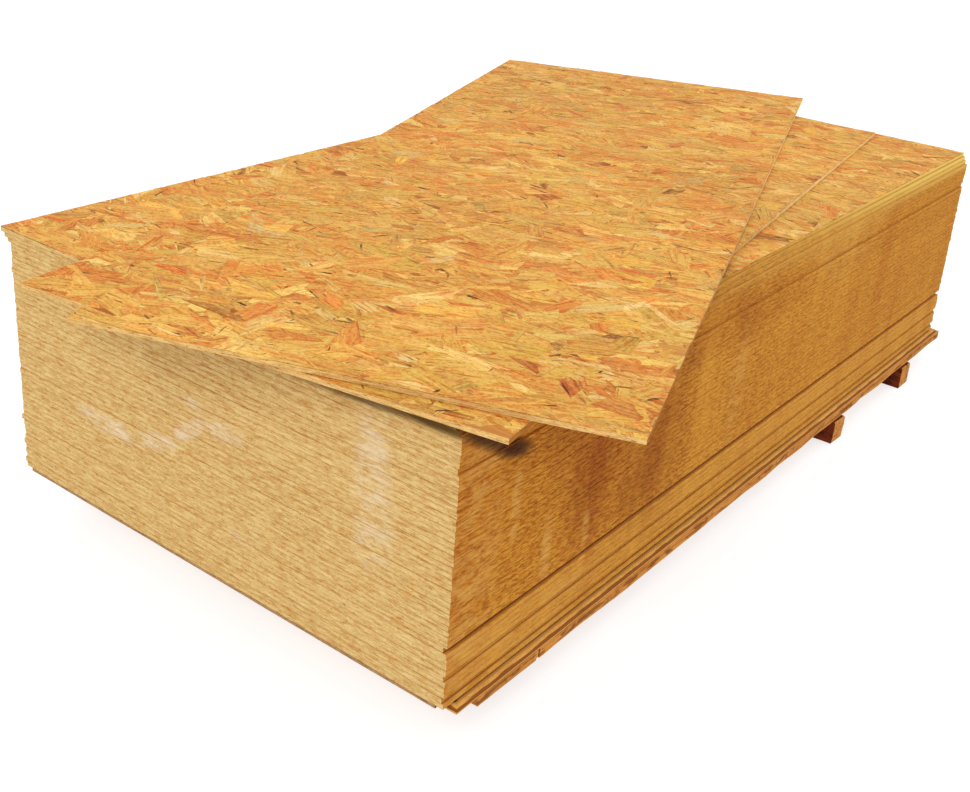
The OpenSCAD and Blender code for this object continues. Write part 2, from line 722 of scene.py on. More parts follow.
    def _mottling(self, g: Graph, at: EdgePoint, colour: Val) -> Val:
        """Adds fine warm and pale mottling, and dark specks.

        Args:
            g: The graph.
            at: The point.
            colour: The colour so far.

        Returns:
            The new colour.
        """
        patches = g.noise(g.stretch(at.place, (46.0, 46.0, 130.0)), 5.0, 0.72, 0.4)
        colour = g.mix(patches.rise(0.5, 0.64) * self.mottle, colour, paint(236, 200, 156), "MULTIPLY")
        colour = g.mix(patches.rise(0.47, 0.34) * self.mottle * 0.8, colour, self.light)
        speck = g.noise(g.stretch(at.place, (120.0, 120.0, 210.0)), 2.0, 0.5)
        return g.mix(speck.rise(0.655, 0.7) * self.mottle, colour, self.dark)

    def _areas(self, g: Graph, at: EdgePoint, colour: Val) -> Val:
        """Adds stains, newly cut areas, smudges and the shade under an overhang.

        Args:
            g: The graph.
            at: The point.
            colour: The colour so far.

        Returns:
            The new colour.
        """
        if self.stain:
            cloud = g.noise(g.stretch(at.place, (6.0, 6.0, 3.0)), 3.0)
            mask = blotches(self.stain, at.along, at.z) * cloud.rise(0.25, 0.7)
            colour = g.mix(mask, colour, paint(206, 172, 120), "MULTIPLY")
        if self.fresh:
            colour = g.mix(blotches(self.fresh, at.along, at.z), colour, self.cut)
        if self.chalk:
            smear = g.noise(g.stretch(at.place, (15.0, 15.0, 48.0)), 5.0, 0.66, 0.6)
            mask = blotches(self.chalk, at.along, at.z) * smear.rise(0.38, 0.64)
            colour = g.mix(mask * at.near * 0.55, colour, self.powder)
        # Painted shadow close under the loose boards' overhang, on the near side only.
        if self.shade:
            colour = g.mix(blotches(self.shade, at.along, at.z) * at.near, colour, self.gap)
        return colour

    def material(self) -> bpy.types.Material:
        """Builds the material, which reads each board's own edge run."""
        g = Graph(self.name)
        at = EdgePoint.on(g, self.axis)
        strand = g.noise(g.vector(at.run * 34.0, at.height * 400.0, at.board * 7.31), 3.0, 0.62, 0.5)
        fine = g.noise(g.vector(at.run * 210.0, at.height * 900.0, at.board * 3.17), 3.0, 0.65)
        slot = g.noise(g.vector(at.run * 85.0, at.height * 330.0, at.board * 5.9 + 11.0), 2.0, 0.45, 0.4)
        pit = slot.rise(0.64, 0.72)
        colour = self._wood(g, at, strand, fine, pit)
        colour = self._joints(g, at, colour)
        if self.hatch:
            colour = self._saw_marks(g, at, colour)
        if self.band:
            colour = self._bands(g, at, colour)
        if self.mottle:
            colour = self._mottling(g, at, colour)
        colour = self._areas(g, at, colour)
        toned = g.mix(1.0, colour, self.tone, "MULTIPLY")
        # Painted shade towards the end with the lower coordinate.
        toned = g.mix(at.along.rise(0.5, -0.8), toned, self.near_end_shade, "MULTIPLY")
        normal = g.bump(strand * 0.5 + fine * 0.3 - pit * 0.8, 0.0007, 0.45)
        return g.surface(
            Base_Color=toned, Roughness=0.74 + 0.2 * fine, Normal=normal, Specular_IOR_Level=0.12)


@dataclass(frozen=True)
class SoftwoodFinish:
    """Finish of rough sawn timber.

    Attributes:
        name: The material's name.
        axis: The axis that the grain runs along.
        dark: Colour of the late wood.
        light: Colour of the early wood.
        bark: Colour of bark and stains.
        bark_share: How much of the surface is stained, from 0 to 1.
        foot: How strongly the edge has pale rims and a dark foot.
    """

    name: str
    axis: Axis
    dark: Colour
    light: Colour
    bark: Colour
    bark_share: float = 0.4
    foot: float = 0.0

    # Heights on a plank's edge at which each one starts and is full, in metres.
    LOW_RIM = (0.009, 0.005)
    HIGH_RIM = (0.021, 0.0245)
    DARK_FOOT = (0.0028, 0.001)

    def material(self) -> bpy.types.Material:
        """Builds the material."""
        g = Graph(self.name)
        place = g.place()
        x, y, z = g.parts(place)
        along, across = (x, y) if self.axis is Axis.X else (y, x)
        bend = g.noise(g.vector(along * 1.6, across * 5.0, z * 5.0), 2.0)
        rings = g.noise(g.vector(along * 1.5, across * 120.0 + bend * 9.0, z * 120.0 + bend * 9.0), 3.0, 0.55)
        fibre = g.noise(g.vector(along * 12.0, across * 520.0, z * 520.0), 3.0, 0.6)
        saw = g.noise(g.vector(along * 260.0, across * 12.0, z * 12.0), 2.0, 0.6)
        patch = g.noise(g.vector(along * 20.0, across * 60.0, z * 60.0), 4.0, 0.6, 0.6)
        wood = g.ramp(rings * 0.7 + fibre * 0.3, [(0.3, self.dark), (0.62, self.light)])
        low, high = 0.62 - 0.3 * self.bark_share, 0.74 - 0.3 * self.bark_share
        colour = g.mix(patch.rise(low, high) * 0.85, wood, self.bark)
        if self.foot:
            _, height, _ = g.parts(g.attribute("edge_run", "Vector"))
            rim = height.rise(*self.LOW_RIM).larger(height.rise(*self.HIGH_RIM))
            colour = g.mix(rim * self.foot * 0.8, colour, self.light)
            colour = g.mix(height.rise(*self.DARK_FOOT) * self.foot, colour, self.dark)
        colour = g.mix(saw.rise(0.5, 0.7) * 0.25, colour, paint(150, 100, 60), "MULTIPLY")
        relief = rings * 0.4 + fibre * 0.3 + saw * 0.5 + patch * 0.3
        normal = g.bump(relief, 0.0015, 0.6)
        return g.surface(
            Base_Color=colour, Roughness=0.78 + 0.15 * fibre, Normal=normal, Specular_IOR_Level=0.12)


@dataclass(frozen=True)
class ChipboardFinish:
    """Finish of pressed chips or fibre: the base board, and the thin sheet painted dark as the shadow in the
    groove under the cover.

    Attributes:
        name: The material's name.
        dark: Colour of the dirt.
        body: Colour of most chips.
        light: Colour of the palest chips.
        band: How strongly a hollow along the middle of the edge is painted in shade, between two paler lips.
    """

    name: str
    dark: Colour
    body: Colour
    light: Colour
    band: float = 0.0

    # How far the hollow strays, and the heights at which it starts and is full, in metres.
    STRAY = 0.006
    HOLLOW_FOOT = (0.0075, 0.0105)
    HOLLOW_HEAD = (0.0195, 0.017)

    def material(self) -> bpy.types.Material:
        """Builds the material."""
        g = Graph(self.name)
        place = g.place()
        chips, _, _ = g.parts(g.cells(g.stretch(place, (240.0, 240.0, 900.0))))
        grime = g.noise(g.stretch(place, (16.0, 16.0, 50.0)), 5.0, 0.62, 0.3)
        streak = g.noise(g.stretch(place, (20.0, 20.0, 300.0)), 3.0, 0.6)
        colour = g.ramp(chips * 0.3 + streak * 0.7, [(0.25, self.dark), (0.5, self.body), (0.8, self.light)])
        colour = g.mix(grime.rise(0.52, 0.7) * 0.45, colour, self.dark)
        if self.band:
            # Painted shade in a hollow along the middle of the edge, with paler lips above and below.
            _, height, _ = g.parts(g.attribute("edge_run", "Vector"))
            level = height + (streak - 0.5) * self.STRAY
            hollow_shade = level.rise(*self.HOLLOW_FOOT) * level.rise(*self.HOLLOW_HEAD)
            colour = g.mix((1.0 - hollow_shade) * self.band * 0.6, colour, self.light)
            colour = g.mix(hollow_shade * self.band, colour, self.dark)
        relief = chips * 0.6 + streak * 0.4
        normal = g.bump(relief, 0.0007, 0.6)
        return g.surface(
            Base_Color=colour, Roughness=0.75 + 0.15 * chips, Normal=normal, Specular_IOR_Level=0.12)


# --------------------------------------------------------------------- meshes


@dataclass(frozen=True)
class Slab:
    """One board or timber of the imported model.

    Attributes:
        node: The node that it belongs to.
        middle: Its middle, seen from above.
        turn: The turn of its long side from +X, in radians.
        length: Its long side.
        width: Its short side.
        bottom: Height of its underside.
        top: Height of its upper face.
    """

    node: str
    middle: tuple[float, float]
    turn: float
    length: float
    width: float
    bottom: float
    top: float

    @classmethod
    def of_node(cls, node: str) -> "list[Slab]":
        """Reads every solid of a node, nearest to -X and -Y first.

        Args:
            node: The node's name.

        Returns:
            One slab for each solid.
        """
        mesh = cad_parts[node].data
        corner = [tuple(round(c, 5) for c in vertex.co) for vertex in mesh.vertices]
        group = {point: point for point in corner}

        def root(point: tuple) -> tuple:
            """The point that stands for a group."""
            while group[point] != point:
                point = group[point]
            return point

        for face in mesh.polygons:
            first = root(corner[face.vertices[0]])
            for index in face.vertices[1:]:
                group[root(corner[index])] = first
        solids: dict[tuple, set] = {}
        for point in group:
            solids.setdefault(root(point), set()).add(point)
        return sorted((cls._of_points(node, points) for points in solids.values()), key=lambda s: s.middle)

    @classmethod
    def _of_points(cls, node: str, points: set) -> "Slab":
        """Measures one box from its corners.

        Args:
            node: The node's name.
            points: The box's corners.

        Returns:
            The slab.
        """
        plan = np.array(sorted({point[:2] for point in points}))
        heights = [point[2] for point in points]
        sides = sorted((plan - plan[0])[1:], key=lambda side: float(np.hypot(*side)))
        short, long = sides[0], sides[1]
        direction = long if long[0] >= 0 else -long
        turn = math.atan2(direction[1], direction[0])
        size = (float(np.hypot(*long)), float(np.hypot(*short)))
        return cls(node, tuple(plan.mean(0)), turn, *size, min(heights), max(heights))

    def place(self, u: np.ndarray, v: np.ndarray, z: np.ndarray) -> np.ndarray:
        """Moves points from the slab's own axes into the model's.

        Args:
            u: Places along the slab, from its middle.
            v: Places across it, from its middle.
            z: Heights.

        Returns:
            Points as rows.
        """
        c, s = math.cos(self.turn), math.sin(self.turn)
        return np.stack([self.middle[0] + c * u - s * v, self.middle[1] + s * u + c * v, z], -1)


@dataclass
class MeshMaker:
    """Collects points, faces and stored values, and makes one object of them.

    Attributes:
        points: Blocks of points.
        faces: Faces as lists of point numbers.
        slots: The material slot of each face.
        stored: Values for each point, by name, in blocks.
        count: How many points there are.
    """

    points: list[np.ndarray] = field(default_factory=list)
    faces: list = field(default_factory=list)
    slots: list[int] = field(default_factory=list)
    stored: dict[str, list[np.ndarray]] = field(default_factory=dict)
    count: int = 0

    def add_points(self, points: np.ndarray, **stored: np.ndarray) -> int:
        """Adds points.

        Args:
            points: Rows of x, y and z.
            **stored: Values for each point, by name: 1, 3 or 4 numbers.

        Returns:
            The number of the first new point.
        """
        first = self.count
        self.points.append(points)
        self.count += len(points)
        for name, values in stored.items():
            self.stored.setdefault(name, []).append(values)
        return first

    def add_faces(self, faces: list, slot: int) -> None:
        """Adds faces that share a material slot.

        Args:
            faces: Lists of point numbers.
            slot: The material slot.
        """
        self.faces.extend(faces)
        self.slots.extend([slot] * len(faces))

    def build(self, name: str, materials: list[bpy.types.Material]) -> bpy.types.Object:
        """Makes the object.

        Args:
            name: The object's name.
            materials: Its material slots.

        Returns:
            The object, which rides on the model's body.
        """
        mesh = bpy.data.meshes.new(name)
        mesh.from_pydata(np.concatenate(self.points).tolist(), [], self.faces)
        mesh.polygons.foreach_set("material_index", self.slots)
        kinds = {1: ("FLOAT", "value"), 3: ("FLOAT_VECTOR", "vector"), 4: ("FLOAT_COLOR", "color")}
        for key, blocks in self.stored.items():
            values = np.concatenate(blocks).astype(np.float32)
            kind, member = kinds[1 if values.ndim == 1 else values.shape[1]]
            mesh.attributes.new(key, kind, "POINT").data.foreach_set(member, values.ravel())
        for material in materials:
            mesh.materials.append(material)
        mesh.update()
        piece = bpy.data.objects.new(name, mesh)
        bpy.context.scene.collection.objects.link(piece)
        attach(piece, BODY)
        return piece


def drift(rng: np.random.Generator, run: np.ndarray, pitch: float) -> np.ndarray:
    """Smooth random values along a line.

    Args:
        rng: The source of random numbers.
        run: Places along the line, rising.
        pitch: How far apart the independent values are.

    Returns:
        Values from 0 to 1.
    """
    knots = np.arange(run[0], run[-1] + 2 * pitch, pitch)
    return np.interp(run, knots, rng.random(len(knots)))


class Face(Enum):
    """Which faces of a board share a finish; the value is the material slot."""

    FLAT = 0
    END = 1
    FLANK = 2


@dataclass(frozen=True)
class Outline:
    """Points round a board, seen from above.

    Attributes:
        u: Places along the board, from its middle.
        v: Places across it, from its middle.
        inward_u: The inward direction along the board.
        inward_v: The inward direction across it.
        run: The way round from the first corner.
        side: The number of the side that each point lies on.
    """

    u: np.ndarray
    v: np.ndarray
    inward_u: np.ndarray
    inward_v: np.ndarray
    run: np.ndarray
    side: np.ndarray


@dataclass
class SawnBoard:
    """A board or timber with sawn, slightly uneven edges.

    Attributes:
        slab: Its place and size.
        profile: Pairs of height share and inward set, from the underside up; the set is in millimetres.
        pitch: Spacing of the points along the edges.
        waver: How far the sawn face strays inwards.
        arris: How far the two arrises are broken at most.
        wane: How far the lower outer arris is missing at most.
        lowered: How far the upper face lies below the slab's top.
        number: The board's number, which picks its pattern.
        seed: Fixes its random numbers.
    """

    slab: Slab
    profile: Profile = ((0.0, 0.4), (0.07, 0.1), (0.5, 0.0), (0.93, 0.1), (1.0, 0.4))
    pitch: float = 0.02
    waver: float = 0.0006
    arris: float = 0.0008
    wane: float = 0.0
    lowered: float = 0.0
    number: int = 0
    seed: int = 0

    # The inward direction of each side, and which sides share a finish.
    INWARD = ((1, 0), (0, 1), (-1, 0), (0, -1))
    SIDES = ((Face.END, (0, 2)), (Face.FLANK, (1, 3)))
    # How far apart the independent values are along an edge, in metres.
    WANE_PITCH = 0.11
    WAVER_PITCH = 0.07
    ARRIS_PITCH = 0.03
    # Loops set in further than this, in millimetres, are arrises.
    ARRIS_SET = 0.35
    # Shares of the spacing and of the waver.
    JITTER = 0.25
    FINE_WAVER = 0.35
    # How fast the wane fades with the share of the height.
    WANE_FADE = 1.6

    def _outline(self, rng: np.random.Generator) -> Outline:
        """Walks round the board.

        Args:
            rng: The source of random numbers.

        Returns:
            Its outline; the first point of each side is a corner, and leads inwards from both sides.
        """
        a, b = self.slab.length / 2, self.slab.width / 2
        corners = [(-a, b), (-a, -b), (a, -b), (a, b)]
        u, v, inward_u, inward_v, side = [], [], [], [], []
        for number, (start, end) in enumerate(zip(corners, corners[1:] + corners[:1])):
            steps = max(2, round(math.dist(start, end) / self.pitch))
            share = (np.arange(steps) + rng.uniform(-self.JITTER, self.JITTER, steps)) / steps
            share[0] = 0.0
            u.append(start[0] + (end[0] - start[0]) * share)
            v.append(start[1] + (end[1] - start[1]) * share)
            for directions, here, before in zip(
                    (inward_u, inward_v), self.INWARD[number], self.INWARD[number - 1]):
                directions.append(np.full(steps, float(here)))
                directions[-1][0] += before
            side.append(np.full(steps, number))
        u, v = np.concatenate(u), np.concatenate(v)
        closed_u, closed_v = np.append(u, u[0]), np.append(v, v[0])
        run = np.concatenate([[0.0], np.cumsum(np.hypot(np.diff(closed_u), np.diff(closed_v)))])[:-1]
        return Outline(u, v, np.concatenate(inward_u), np.concatenate(inward_v), run, np.concatenate(side))

    def _add_loop(self, maker: MeshMaker, outline: Outline, share: float, set_in: np.ndarray) -> int:
        """Adds one loop of points round the board.

        Args:
            maker: The mesh that takes them.
            outline: The board's outline.
            share: The loop's height, as a share of the thickness.
            set_in: How far each point lies inwards.

        Returns:
            The number of the loop's first point.
        """
        n = len(outline.u)
        height = (self.slab.top - self.slab.bottom - self.lowered) * share
        u = outline.u + outline.inward_u * set_in
        v = outline.v + outline.inward_v * set_in
        points = self.slab.place(u, v, np.full(n, self.slab.bottom + height))
        number = np.full(n, float(self.number))
        edge_run = np.stack([outline.run, np.full(n, height), number], -1)
        lay = np.stack([outline.u, outline.v, number], -1)
        return maker.add_points(points, edge_run=edge_run, board_lay=lay)

    def add_to(self, maker: MeshMaker) -> None:
        """Adds the board's points and faces.

        Args:
            maker: The mesh that takes them.
        """
        rng = np.random.default_rng(self.seed)
        outline = self._outline(rng)
        n = len(outline.u)
        wane = self.wane * drift(rng, outline.run, self.WANE_PITCH) ** 2
        coarse = drift(rng, outline.run, self.WAVER_PITCH) * self.waver
        loops = []
        for share, inset in self.profile:
            broken = 0.0
            if inset > self.ARRIS_SET:
                broken = drift(rng, outline.run, self.ARRIS_PITCH) * self.arris
            set_in = coarse + rng.random(n) * self.waver * self.FINE_WAVER + broken + inset * MILLIMETRE
            set_in = set_in + wane * max(0.0, 1.0 - share * self.WANE_FADE)
            loops.append(self._add_loop(maker, outline, share, set_in))
        for low, high in zip(loops, loops[1:]):
            for face, sides in self.SIDES:
                index = np.flatnonzero(np.isin(outline.side, sides))
                after = (index + 1) % n
                quads = np.stack([low + index, low + after, high + after, high + index], -1)
                maker.add_faces(quads.tolist(), face.value)
        maker.add_faces([list(range(loops[0] + n - 1, loops[0] - 1, -1))], Face.FLAT.value)
        maker.add_faces([list(range(loops[-1], loops[-1] + n))], Face.FLAT.value)


@dataclass(frozen=True)
class Tint:
    """A colour that strands come in.

    Attributes:
        colour: The display colour.
        share: How many strands have it, against the others.
    """

    colour: tuple[int, int, int]
    share: float


COMMON_TINTS = (
    Tint((232, 180, 102), 28), Tint((236, 194, 118), 26), Tint((226, 184, 104), 14), Tint((231, 168, 92), 16),
    Tint((243, 214, 152), 10), Tint((226, 150, 78), 11), Tint((214, 130, 62), 5),
    Tint((210, 174, 102), 3.5), Tint((160, 104, 50), 2.2),
)
BROAD_TINTS = (
    Tint((232, 182, 104), 28), Tint((236, 194, 118), 26), Tint((228, 188, 108), 18), Tint((230, 166, 88), 14),
    Tint((242, 214, 150), 12), Tint((224, 148, 74), 9),
)
SLIVER_TINTS = (
    Tint((120, 76, 32), 5), Tint((148, 116, 56), 4), Tint((70, 42, 16), 3.5), Tint((182, 118, 58), 3),
)


@dataclass(frozen=True)
class Strands:
    """The place, size, turn and kind of each strand of a layer.

    Attributes:
        middle: Places along and across the board.
        order: How high each one lies, from 0 to 1.
        half_l: Half lengths.
        half_w: Half widths.
        turn: Turns from along the board, in radians.
        sliver: True for thin dark slivers.
        broad: True for broad flakes.
    """

    middle: np.ndarray
    order: np.ndarray
    half_l: np.ndarray
    half_w: np.ndarray
    turn: np.ndarray
    sliver: np.ndarray
    broad: np.ndarray

    def tints(self, rng: np.random.Generator) -> np.ndarray:
        """Picks a colour for each strand.

        Args:
            rng: The source of random numbers.

        Returns:
            Linear colours with alpha, one row for each strand.
        """
        n = len(self.middle)
        rows = []
        for tints in (COMMON_TINTS, SLIVER_TINTS, BROAD_TINTS):
            colours = np.array([paint(*tint.colour) for tint in tints])
            share = np.array([tint.share for tint in tints])
            rows.append(colours[rng.choice(len(tints), n, p=share / share.sum())])
        common, sliver, broad = rows
        picked = np.where(self.sliver[:, None], sliver, np.where(self.broad[:, None], broad, common))
        slow = np.sin(self.middle[:, 0] * 4.1 + 1.0) * np.sin(self.middle[:, 1] * 5.3 + 0.4)
        bright = 1.0 + rng.normal(0, 0.095, n) + 0.06 * slow
        picked[:, :3] *= bright[:, None]
        picked[:, 2] *= 1.0 + 0.12 * rng.normal(0, 1, n)
        return picked.clip(0.0, 1.0)


@dataclass
class StrandLayer:
    """Wood strands pressed into the upper face of a board.

    Attributes:
        slab: The board.
        relief: How deep the layer is.
        cover: How many strands lie over each point.
        sliver_share: Share of thin dark slivers.
        broad_share: Share of extra broad flakes.
        spread: How far strands turn from straight across the board, in radians.
        wild: Share of strands that lie any way.
        seed: Fixes the random numbers.
        under: The board that hides part of this one, or None.
    """

    slab: Slab
    relief: float = 0.0012
    cover: float = 3.4
    sliver_share: float = 0.16
    broad_share: float = 0.34
    spread: float = 0.4
    wild: float = 0.22
    seed: int = 1
    under: Slab | None = None

    OUTLINE = np.array([
        (-0.9, -0.4), (-1.0, -1.0), (1.0, -1.0), (0.92, -0.35),
        (1.0, 0.4), (0.94, 1.0), (-0.96, 1.0), (-1.0, 0.35),
    ])
    CORNERS = len(OUTLINE)
    # Least and greatest half length and half width, in metres.
    SLIVER_HALF_L = (0.007, 0.03)
    SLIVER_HALF_W = (0.0015, 0.0042)
    BROAD_HALF_L = (0.038, 0.082)
    BROAD_HALF_W = (0.017, 0.04)
    # Shape and scale of a gamma draw, and the limits that it is held to.
    COMMON_HALF_L = (6.0, 0.0072)
    COMMON_HALF_W = (2.8, 0.0047)
    COMMON_L_LIMITS = (0.018, 0.08)
    COMMON_W_LIMITS = (0.0036, 0.03)
    # Slivers are rare at the bottom of the layer, and get more common towards the top by this much.
    SLIVERS_RISE = (0.2, 1.6)
    # How an outline strays, as shares of the half length and half width, and its bow in metres.
    RAGGED_ENDS = (-0.3, 0.05)
    RAGGED_SIDES = (0.8, 1.04)
    TAPER = 0.4
    LEAN = 1.1
    BEND = 0.0022
    # The sloping rim is this wide, or this share of the half width where that is less.
    RIM = 0.0009
    RIM_SHARE = 0.35
    # The lowest strand's height and the rise to the highest, as shares of the relief; tilts are slopes.
    LEVELS = (0.2, 0.72)
    TILT_ALONG = 0.0016
    TILT_ACROSS = 0.006
    SUNK = 0.0002
    LEAST_RISE = 0.0001
    HIDDEN_BY = 0.07
    INSIDE = 0.0002
    MEAN_AREA = 0.00165
    # Each strand reads its own stretch of the grain pattern.
    PATTERN_STEP = 0.618
    PATTERNS = 61.0

    def _hidden(self, middle: np.ndarray) -> np.ndarray:
        """Which strands lie well under the board above.

        Args:
            middle: Places along and across this board.

        Returns:
            True where the strand is hidden.
        """
        if self.under is None:
            return np.zeros(len(middle), bool)
        points = self.slab.place(middle[:, 0], middle[:, 1], np.zeros(len(middle)))[:, :2]
        offset = points - np.array(self.under.middle)
        c, s = math.cos(self.under.turn), math.sin(self.under.turn)
        along = np.abs(offset @ np.array([c, s])) - self.under.length / 2
        across = np.abs(offset @ np.array([-s, c])) - self.under.width / 2
        return (along < -self.HIDDEN_BY) & (across < -self.HIDDEN_BY)

    def _scatter(self, rng: np.random.Generator) -> Strands:
        """Picks each strand's place, size, turn and kind.

        Args:
            rng: The source of random numbers.

        Returns:
            The strands, lowest first.
        """
        a, b = self.slab.length / 2, self.slab.width / 2
        wanted = int(self.cover * self.slab.length * self.slab.width / self.MEAN_AREA)
        middle = np.stack([rng.uniform(-a, a, wanted), rng.uniform(-b, b, wanted)], -1)
        middle = middle[~self._hidden(middle)]
        n = len(middle)
        order = np.arange(n) / n
        least, extra = self.SLIVERS_RISE
        sliver = rng.random(n) < self.sliver_share * (least + extra * order)
        half_l = np.where(sliver, rng.uniform(*self.SLIVER_HALF_L, n),
                          rng.gamma(*self.COMMON_HALF_L, n).clip(*self.COMMON_L_LIMITS))
        half_w = np.where(sliver, rng.uniform(*self.SLIVER_HALF_W, n),
                          rng.gamma(*self.COMMON_HALF_W, n).clip(*self.COMMON_W_LIMITS))
        broad = ~sliver & (rng.random(n) < self.broad_share)
        half_l = np.where(broad, rng.uniform(*self.BROAD_HALF_L, n), half_l)
        half_w = np.where(broad, rng.uniform(*self.BROAD_HALF_W, n), half_w)
        turn = np.pi / 2 + rng.normal(0, self.spread, n)
        turn = np.where(rng.random(n) < self.wild, rng.uniform(0, np.pi, n), turn)
        return Strands(middle, order, half_l, half_w, turn, sliver, broad)

    def _outlines(self, rng: np.random.Generator, strands: Strands) -> tuple[np.ndarray, ...]:
        """Draws each strand's ragged outline.

        Args:
            rng: The source of random numbers.
            strands: The strands.

        Returns:
            Each corner's share of the half length and half width, and its place along and across the strand.
        """
        n = len(strands.middle)
        shape = np.broadcast_to(self.OUTLINE, (n, self.CORNERS, 2)).copy()
        shape[..., 0] += rng.uniform(*self.RAGGED_ENDS, (n, self.CORNERS)) * np.sign(self.OUTLINE[:, 0])
        shape[..., 1] *= rng.uniform(*self.RAGGED_SIDES, (n, self.CORNERS))
        span_x, span_y = shape[..., 0], shape[..., 1]
        half_l, half_w = strands.half_l[:, None], strands.half_w[:, None]
        taper = rng.uniform(-self.TAPER, self.TAPER, (n, 1))
        lean = rng.uniform(-self.LEAN, self.LEAN, (n, 1))
        x = span_x * half_l + lean * span_y * half_w
        bend = rng.normal(0, self.BEND, (n, 1))
        y = span_y * (1 - taper * span_x) * half_w + bend * span_x ** 2
        return span_x, span_y, x, y

    def build(self, name: str, finish: bpy.types.Material) -> bpy.types.Object:
        """Makes the layer.

        Args:
            name: The object's name.
            finish: The strands' material.

        Returns:
            The object.
        """
        rng = np.random.default_rng(self.seed)
        strands = self._scatter(rng)
        n = len(strands.middle)
        span_x, span_y, x, y = self._outlines(rng, strands)
        rim = np.minimum(self.RIM, strands.half_w * self.RIM_SHARE)[:, None]
        inner_x = x - np.sign(span_x) * rim
        inner_y = y - np.sign(span_y) * rim
        base = self.slab.top - self.relief
        lowest, rise = self.LEVELS
        level = base + self.relief * (lowest + rise * strands.order[:, None])
        tilt = rng.normal(0, self.TILT_ALONG, (n, 1)) * inner_x
        tilt = tilt + rng.normal(0, self.TILT_ACROSS, (n, 1)) * inner_y
        inner_z = np.clip(level + tilt, base + self.LEAST_RISE, self.slab.top)

        a, b = self.slab.length / 2 - self.INSIDE, self.slab.width / 2 - self.INSIDE
        c, s = np.cos(strands.turn)[:, None], np.sin(strands.turn)[:, None]
        pattern = (np.arange(n) * self.PATTERN_STEP)[:, None] % self.PATTERNS
        tints = np.repeat(strands.tints(rng), self.CORNERS, 0)
        span = np.stack([span_x, span_y, np.zeros_like(span_x)], -1).reshape(-1, 3)
        maker = MeshMaker()
        for px, py, pz in ((x, y, np.full_like(x, base - self.SUNK)), (inner_x, inner_y, inner_z)):
            u = np.clip(strands.middle[:, :1] + c * px - s * py, -a, a)
            v = np.clip(strands.middle[:, 1:] + s * px + c * py, -b, b)
            points = self.slab.place(u.ravel(), v.ravel(), pz.ravel())
            grain = np.stack([px, py, np.broadcast_to(pattern, px.shape)], -1).reshape(-1, 3)
            maker.add_points(points, strand_grain=grain, strand_tint=tints, strand_span=span)
        outer = np.arange(n * self.CORNERS).reshape(n, self.CORNERS)
        inner = outer + n * self.CORNERS
        after = np.roll(np.arange(self.CORNERS), -1)
        quads = np.stack([outer, outer[:, after], inner[:, after], inner], -1).reshape(-1, 4)
        maker.add_faces(inner.tolist(), 0)
        maker.add_faces(quads.tolist(), 0)
        return maker.build(name, [finish])


# --------------------------------------------------------------- the assembly


CHALK = (
    Blotch(0.30, 0.352, 0.15, 0.03, 0.02), Blotch(0.16, 0.37, 0.1, 0.028, -0.25),
    Blotch(0.06, 0.43, 0.07, 0.03, -0.6), Blotch(-0.04, 0.472, 0.09, 0.03, 0.0, 0.9),
    Blotch(-0.435, 0.53, 0.055, 0.2, 0.0, 0.8), Blotch(-0.44, 0.44, 0.07, 0.14, 0.0, 0.6),
    Blotch(0.05, 0.5, 0.04, 0.02, 0.0, 0.7), Blotch(-0.1, 0.26, 0.04, 0.03, 0.0, 0.5),
)
STAINS = (Blotch(-0.74, 0.5, 0.4, 0.34, -0.3, 1.0), Blotch(-0.4, 0.62, 0.6, 0.15, 0.0, 0.7))
FRESH_CUTS = (Blotch(1.45, 0.73, 1.9, 0.075, 0.0, 1.0), Blotch(0.3, 0.72, 1.1, 0.09, 0.0, 0.2))
SCUFFS = (
    Blotch(-1.2, 0.42, 0.11, 0.5, 0.0, 0.9), Blotch(-1.187, 0.52, 0.02, 0.1),
    Blotch(-1.074, 0.48, 0.02, 0.14), Blotch(-0.958, 0.3, 0.024, 0.14),
    Blotch(-0.82, 0.28, 0.02, 0.1), Blotch(-0.2, 0.42, 0.05, 0.2, 0.0, 0.6),
    Blotch(0.35, 0.62, 0.3, 0.12, 0.0, 0.5), Blotch(-1.0, 0.18, 0.3, 0.08, 0.0, 0.6),
)
# Painted shadows close under the loose boards, on the near short end and the near long side.
END_SHADE = (Blotch(-0.42, 0.676, 0.32, 0.017, -0.06, 0.8), Blotch(-0.56, 0.686, 0.16, 0.02, -0.02, 0.95))
SIDE_SHADE = (Blotch(-1.18, 0.654, 0.15, 0.034, -0.6, 0.9), Blotch(-1.1, 0.604, 0.08, 0.03, -0.35, 0.95))
# Boards that lie back: the strength of the painted shadow on each edge, and how far it lies back.
PARTED = (Parting(1, 0.3, 0.004), Parting(5, 0.4, 0.004), Parting(10, 0.4, 0.009))


